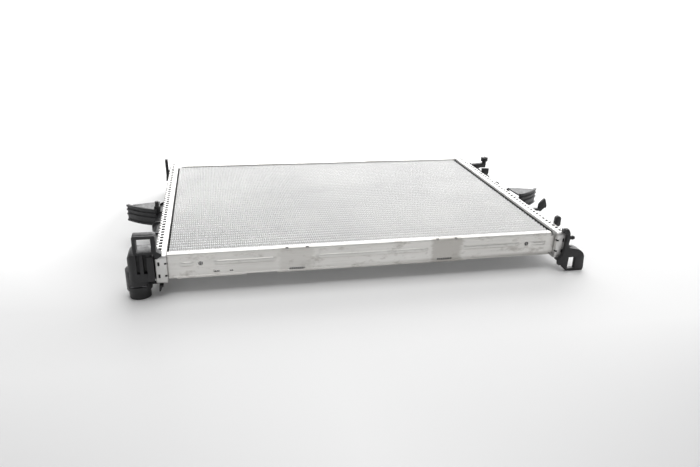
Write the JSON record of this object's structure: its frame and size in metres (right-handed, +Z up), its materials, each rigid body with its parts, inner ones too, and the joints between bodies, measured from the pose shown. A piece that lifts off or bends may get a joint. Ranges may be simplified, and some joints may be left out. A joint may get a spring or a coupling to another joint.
{
  "type": "car radiator",
  "caption": "Cross-flow car radiator: a flat aluminium tube and fin core between crimped headers with moulded plastic end tanks, hose ports, drain plug and corner mounting brackets.",
  "frame": {"origin": "on the plane the radiator rests on when it lies flat, under the middle of the core", "axes": "+X from the left tank to the right tank, +Y from the near side plate to the far one, +Z up, out of the core's face"},
  "size_m": [0.7494, 0.476, 0.097],
  "materials": {
    "core_aluminium": "brazed, matt",
    "header_aluminium": "brazed, satin",
    "plate_aluminium": "brushed, dull",
    "tank_plastic": "moulded, glass-filled",
    "bracket_plastic": "moulded",
    "drain_plastic": "moulded",
    "seal_rubber": "matt",
    "ring_plastic": "satin",
    "spring_steel": "bright wire"
  },
  "bodies": {
    "radiator": {"core": "core_aluminium", "side_plate_front": "plate_aluminium", "side_plate_back": "plate_aluminium", "header_left": "header_aluminium", "header_right": "header_aluminium", "tank_gasket_left": "seal_rubber", "tank_gasket_right": "seal_rubber", "tank_left": "tank_plastic", "tank_right": "tank_plastic", "inlet_seal_ring": "seal_rubber", "outlet_seal_ring": "seal_rubber", "inlet_backing_ring": "ring_plastic", "outlet_backing_ring": "ring_plastic", "loop_bracket_front_left": "bracket_plastic", "socket_bracket_front_right": "bracket_plastic", "foot_bracket_back_left": "bracket_plastic"},
    "drain_plug": {"drain_plug": "drain_plastic", "drain_plug_seal": "seal_rubber"},
    "inlet_clip": {"inlet_wire_clip": "spring_steel"},
    "outlet_clip": {"outlet_wire_clip": "spring_steel"}
  },
  "joints": [
    {"name": "drain_plug_turn", "type": "hinge", "parent": "radiator", "child": "drain_plug", "pos_m": [-0.3215, -0.095, 0.015], "axis": [0, 0, -1], "range_deg": [0, 90]},
    {"name": "inlet_clip_pull", "type": "slide", "parent": "radiator", "child": "inlet_clip", "axis": [0, -1, 0], "range_m": [0, 0.004]},
    {"name": "outlet_clip_pull", "type": "slide", "parent": "radiator", "child": "outlet_clip", "axis": [0, 1, 0], "range_m": [0, 0.004]}
  ]
}
